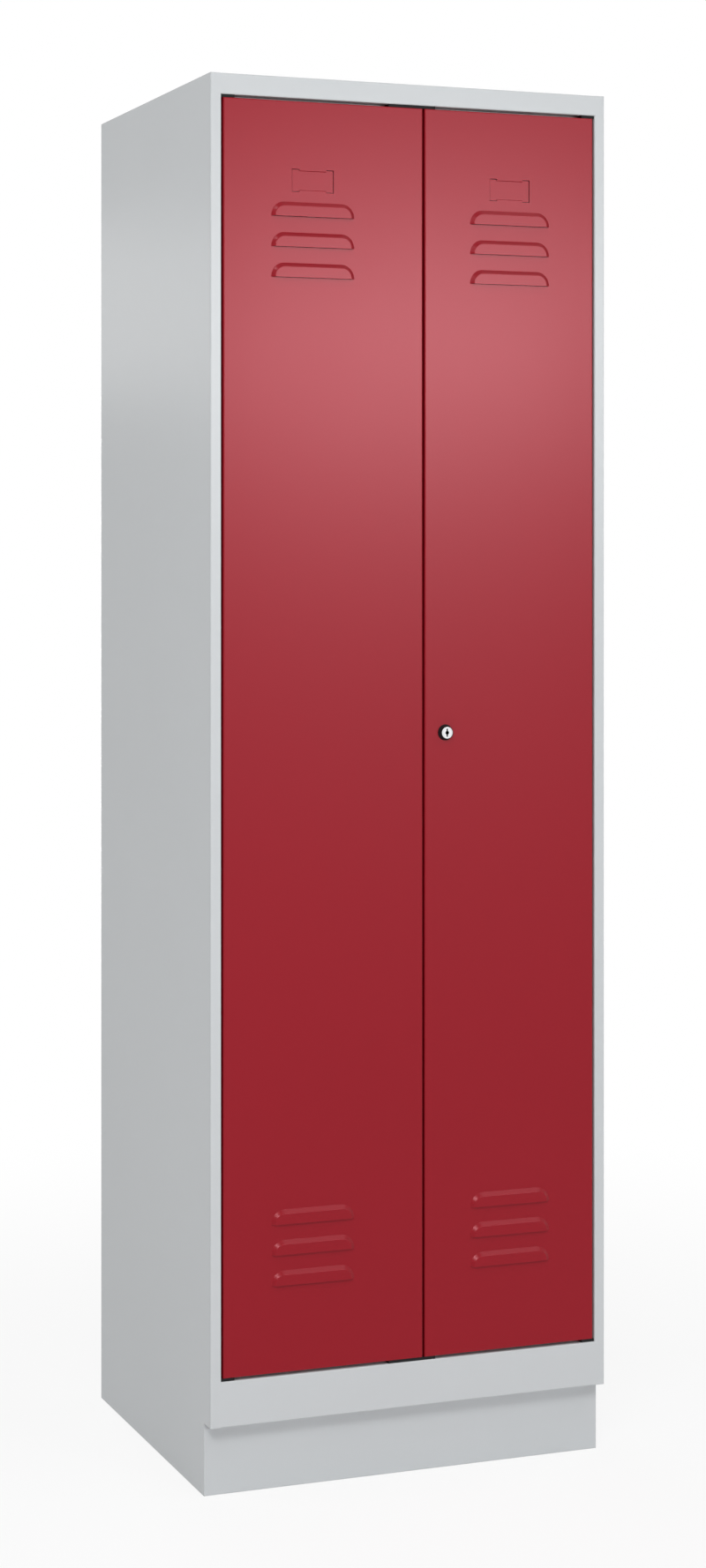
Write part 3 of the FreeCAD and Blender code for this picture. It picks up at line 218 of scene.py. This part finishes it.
def zinc_plate(name, colour):
    """Zinc-plated steel with a faint crystalline bloom."""
    material, tree, shader = new_material(name)
    place = object_coordinates(tree)
    crystal = tree.nodes.new("ShaderNodeTexVoronoi")
    crystal.inputs["Scale"].default_value = 260.0
    tree.links.new(place, crystal.inputs["Vector"])
    grains = tree.nodes.new("ShaderNodeSeparateColor")
    tree.links.new(crystal.outputs["Color"], grains.inputs["Color"])
    smear = noise(tree, place, per_metre=90.0, detail=3.0)
    tone = clouded(tree, grains.outputs["Red"], colour, darkest=0.88, lightest=1.08)
    tone = colour_mix(tree, ramp(tree, smear, low=0.0, high=0.35), tone, shade(colour, factor=0.7))
    sheen = ramp(tree, grains.outputs["Green"], low=0.30, high=0.42)
    relief = bump(tree, smear, distance=0.00004, strength=0.25)
    dress(tree, shader, tone, sheen, relief)
    shader.inputs["Metallic"].default_value = 1.0
    return material


def drawn_chrome(name, colour):
    """Bright plating over drawn tube: fine lines along X, and a slight haze."""
    material, tree, shader = new_material(name)
    place = object_coordinates(tree)
    along_x = (0.004, 1.0, 1.0)
    lines = noise(tree, vector_math(tree, "MULTIPLY", place, along_x), per_metre=1500.0, detail=2.0)
    haze = noise(tree, place, per_metre=40.0, detail=3.0)
    tone = clouded(tree, haze, colour, darkest=0.95, lightest=1.03)
    sheen = ramp(tree, lines, low=0.06, high=0.16)
    relief = bump(tree, lines, distance=0.00001, strength=0.2)
    dress(tree, shader, tone, sheen, relief)
    shader.inputs["Metallic"].default_value = 1.0
    return material


def turned_nickel(name, colour, face_centre):
    """Nickel over a turned face: faint rings round an axis along Y, and painted shade deep in the keyway.
    """
    material, tree, shader = new_material(name)
    place = object_coordinates(tree)
    offset = vector_math(tree, "SUBTRACT", place, face_centre)
    across_y = (1.0, 0.0, 1.0)
    radius = length(tree, vector_math(tree, "MULTIPLY", offset, across_y))
    rings = line_noise(tree, radius, per_metre=2600.0)
    parts = tree.nodes.new("ShaderNodeSeparateXYZ")
    tree.links.new(offset, parts.inputs["Vector"])
    # Painted shade: the plug more than about a millimetre behind its face, such as the keyway's walls, is
    # darkened nearly to black
    keyway_shade = ramp(tree, parts.outputs["Y"], low=0.0, high=1.0, start=0.0004, end=0.0012)
    rub = noise(tree, place, per_metre=420.0, detail=4.0)
    tone = clouded(tree, rub, colour, darkest=0.90, lightest=1.06)
    tone = colour_mix(tree, ramp(tree, rings, low=0.0, high=0.5), tone, shade(colour, factor=0.72))
    # Paint the shade in the keyway
    tone = colour_mix(tree, keyway_shade, tone, shade(colour, factor=0.03))
    sheen = ramp(tree, rings, low=0.16, high=0.30)
    relief = bump(tree, rings, distance=0.00002, strength=0.25)
    dress(tree, shader, tone, sheen, relief)
    shader.inputs["Metallic"].default_value = 1.0
    return material


# Each piece takes the finish of its material slot, apart from the lock's plug, which has its own
finishes = {
    "carcass_paint": powder_coat(
        "carcass_paint_coat", CARCASS_GREY, gloss=0.25, tint=NEUTRAL_TINT, roughness=SATIN),
    "door_paint": powder_coat(
        "door_paint_coat", RUBY_RED, gloss=0.36, tint=RED_TINT, roughness=SATIN),
    "black_plastic": moulded_plastic(
        "black_plastic_grain", PLASTIC_BLACK, gloss=0.15, roughness=0.58, grain=0.35),
    "rubber": moulded_plastic(
        "rubber_matt", RUBBER_BLACK, gloss=0.15, roughness=0.75, grain=0.5),
    "chrome": drawn_chrome("chrome_drawn", CHROME),
    "zinc_steel": zinc_plate("zinc_steel_bloom", ZINC),
}
plug_finish = turned_nickel("nickel_turned", NICKEL, PLUG_FACE)

slot_of = {row["node"]: row["material_slot"] for row in frame["record"]["subparts"]}
for node, piece in frame["nodes"].items():
    piece.data.materials.clear()
    piece.data.materials.append(plug_finish if node == "lock_plug" else finishes[slot_of[node]])


# Stage

def seen_directly(tree):
    """1 for rays from the camera and through gloss or glass, 0 for the rest."""
    path = tree.nodes.new("ShaderNodeLightPath")
    total = path.outputs["Is Camera Ray"]
    for name in ("Is Glossy Ray", "Is Transmission Ray"):
        total = value_math(tree, "MAXIMUM", total, path.outputs[name])
    return total


def floor_material():
    """Pale floor that shows white to the camera, and darker where the locker keeps light off it."""
    material = bpy.data.materials.new("studio_floor")
    tree = empty_tree(material)
    output = tree.nodes.new("ShaderNodeOutputMaterial")
    diffuse = tree.nodes.new("ShaderNodeBsdfDiffuse")
    diffuse.inputs["Color"].default_value = (*FLOOR_WHITE, 1.0)
    glow = tree.nodes.new("ShaderNodeEmission")
    glow.inputs["Strength"].default_value = 1.0
    distance = length(tree, object_coordinates(tree))
    whiter = ramp(tree, distance, low=0.85, high=1.0, start=0.5, end=2.2, interpolation="SMOOTHSTEP")
    mix = tree.nodes.new("ShaderNodeMixShader")
    tree.links.new(value_math(tree, "MULTIPLY", seen_directly(tree), whiter), mix.inputs["Fac"])
    tree.links.new(diffuse.outputs["BSDF"], mix.inputs[1])
    tree.links.new(glow.outputs["Emission"], mix.inputs[2])
    tree.links.new(mix.outputs["Shader"], output.inputs["Surface"])
    return material


def make_floor():
    """Large plain floor just under the locker."""
    mesh = bpy.data.meshes.new("studio_floor")
    corners = [(x * FLOOR_HALF, y * FLOOR_HALF, 0.0) for x, y in ((-1, -1), (1, -1), (1, 1), (-1, 1))]
    mesh.from_pydata(corners, [], [(0, 1, 2, 3)])
    mesh.materials.append(floor_material())
    floor = bpy.data.objects.new("studio_floor", mesh)
    scene.collection.objects.link(floor)
    floor.location.z = -FLOOR_DROP


def make_world(ambient):
    """White where it is seen, and soft ambient light for the rest."""
    world = bpy.data.worlds.new("studio_world")
    scene.world = world
    tree = empty_tree(world)
    output = tree.nodes.new("ShaderNodeOutputWorld")
    background = tree.nodes.new("ShaderNodeBackground")
    background.inputs["Color"].default_value = (1.0, 1.0, 1.0, 1.0)
    strength = ramp(tree, seen_directly(tree), low=ambient, high=1.0)
    tree.links.new(strength, background.inputs["Strength"])
    tree.links.new(background.outputs["Background"], output.inputs["Surface"])


def area_light(name, place, target, width, height, radiance):
    """Soft rectangular lamp of a given brightness."""
    lamp = bpy.data.lights.new(name, "AREA")
    lamp.shape = "RECTANGLE"
    lamp.size = width
    lamp.size_y = height
    lamp.energy = radiance * math.pi * width * height
    holder = bpy.data.objects.new(name, lamp)
    scene.collection.objects.link(holder)
    holder.location = place
    holder.visible_camera = False
    holder.rotation_euler = (Vector(target) - Vector(place)).to_track_quat("-Z", "Y").to_euler()


def light_front():
    """Two far lamps that the doors mirror, two from above, and one near the upper left corner."""
    area_light("key_light", place=(3.08, -7.40, 2.21), target=(0.0, FRONT, 1.6),
               width=1.92, height=0.52, radiance=38.5)
    area_light("low_light", place=(3.08, -7.40, 1.00), target=(0.0, FRONT, 1.0),
               width=1.92, height=1.90, radiance=1.0)
    area_light("top_light", place=(-2.05, -3.80, 3.38), target=(-1.84, -3.97, 0.0),
               width=2.0, height=2.0, radiance=12.6)
    area_light("ceiling_light", place=(2.00, -2.30, 4.50), target=(1.2, -1.9, 0.0),
               width=2.4, height=2.6, radiance=1.6)
    area_light("corner_light", place=(-1.20, -1.15, 3.40), target=(-0.15, FRONT, 1.65),
               width=0.4, height=0.4, radiance=9.0)


def light_sides_and_back():
    """Two lamps for the left side, which mirrors one of them, and one each for the right and the back."""
    area_light("left_light", place=(-2.60, 0.30, 4.20), target=(-0.30, 0.0, 1.6),
               width=1.2, height=1.2, radiance=5.2)
    area_light("side_light", place=(-1.57, 3.82, 2.00), target=(-0.3, 0.0, 1.6),
               width=1.2, height=0.5, radiance=0.92)
    area_light("right_light", place=(3.40, 0.60, 1.00), target=(0.30, 0.0, 1.0),
               width=1.6, height=1.6, radiance=3.4)
    area_light("back_light", place=(0.0, 3.60, 1.05), target=(0.0, 0.25, 1.05),
               width=0.6, height=1.6, radiance=12.0)


def make_camera():
    """Level camera to the left of the front, turned to the right, with its view shifted."""
    lens = bpy.data.cameras.new("photo_camera")
    lens.sensor_width = 36.0
    lens.lens = 63.76
    lens.shift_x = 0.0774
    lens.shift_y = -0.1501
    lens.clip_end = 100.0
    camera = bpy.data.objects.new("photo_camera", lens)
    scene.collection.objects.link(camera)
    camera.location = CAMERA_PLACE
    camera.rotation_euler = (math.pi / 2, 0.0, CAMERA_TURN)
    scene.camera = camera


make_floor()
make_world(AMBIENT)
light_front()
light_sides_and_back()
make_camera()
scene.view_settings.view_transform = "Standard"
